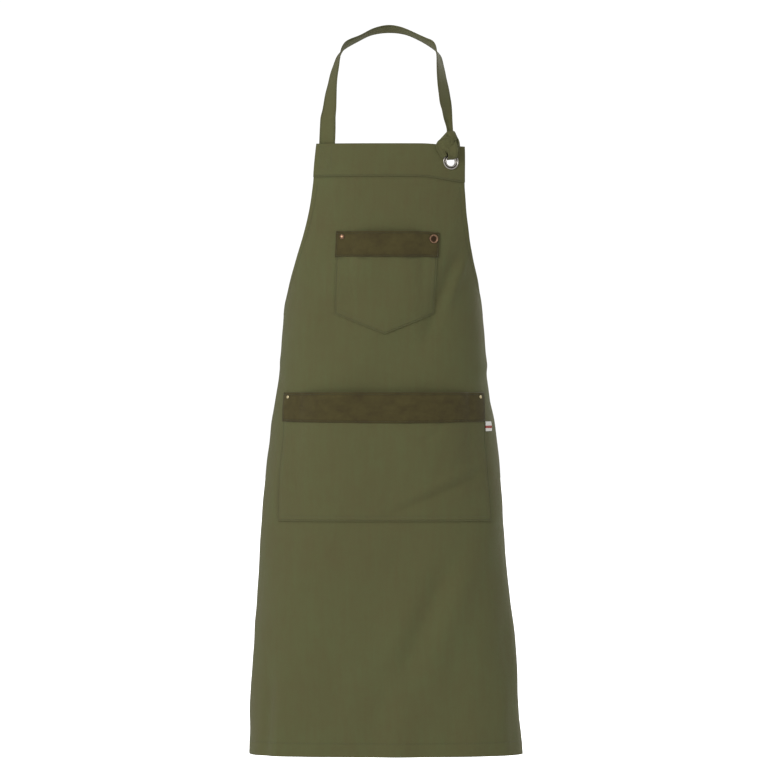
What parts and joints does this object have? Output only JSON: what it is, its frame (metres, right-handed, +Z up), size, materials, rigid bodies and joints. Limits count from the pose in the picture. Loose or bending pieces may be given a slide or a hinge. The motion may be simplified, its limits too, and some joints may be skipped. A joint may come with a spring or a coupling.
{
  "type": "bib apron",
  "caption": "Canvas bib apron with chest and waist pockets, suede pocket bindings, a neck strap knotted through an eyelet, and waist ties.",
  "frame": {"origin": "the inner face of the neck strap at the nape, where the loop hangs", "axes": "+Z up along the hanging apron, -Y out of its front, +X to the viewer's right when the front is seen"},
  "size_m": [0.4236, 0.2319, 1.1335],
  "materials": {
    "canvas": "olive cotton canvas, matt twill weave",
    "suede": "dark olive brown suede, short nap",
    "copper": "antique copper, worn edges",
    "brass": "pale antique brass",
    "nickel": "antique nickel, darkened in its recesses",
    "label": "white woven tape"
  },
  "bodies": {
    "neck_loop": {"neck_strap": "canvas"},
    "bib": {"bib_panel": "canvas", "top_band": "canvas", "eyelet": "nickel", "eyelet_washer": "nickel", "strap_sewn_end": "canvas", "strap_knot": "canvas", "strap_eyelet_turn": "canvas", "strap_free_end": "canvas", "chest_pocket": "canvas", "chest_pocket_trim": "suede", "chest_rivet": "copper", "chest_rivet_back": "copper", "chest_badge": "copper", "chest_badge_back": "copper", "waist_tie_left": "canvas", "waist_tie_right": "canvas", "tie_knot": "canvas", "bow_loop_left": "canvas", "bow_loop_right": "canvas"},
    "skirt": {"skirt_panel": "canvas", "waist_pocket": "canvas", "waist_pocket_trim": "suede", "waist_rivet_left": "brass", "waist_rivet_left_back": "brass", "waist_rivet_right": "brass", "waist_rivet_right_back": "brass"},
    "label": {"side_label": "label"},
    "tail_left": {"tie_tail_left": "canvas"},
    "tail_right": {"tie_tail_right": "canvas"}
  },
  "joints": [
    {"name": "neck_fold", "type": "hinge", "parent": "neck_loop", "child": "bib", "pos_m": [0, -0.139, -0.1451], "axis": [1, 0, 0], "range_deg": [-60, 25]},
    {"name": "waist_lift", "type": "hinge", "parent": "bib", "child": "skirt", "pos_m": [0, -0.1742, -0.5271], "axis": [1, 0, 0], "range_deg": [-25, 0]},
    {"name": "label_flip", "type": "hinge", "parent": "skirt", "child": "label", "pos_m": [0.1535, -0.1222, -0.6155], "axis": [0, 0, 1], "range_deg": [-110, 0], "stiffness_Nm_per_rad": 0.0002},
    {"name": "tail_swing_left", "type": "hinge", "parent": "bib", "child": "tail_left", "pos_m": [-0.0186, 0.043, -0.5256], "axis": [1, 0, 0], "range_deg": [-8, 70]},
    {"name": "tail_swing_right", "type": "hinge", "parent": "bib", "child": "tail_right", "pos_m": [0.0094, 0.043, -0.5256], "axis": [1, 0, 0], "range_deg": [-8, 70]}
  ]
}
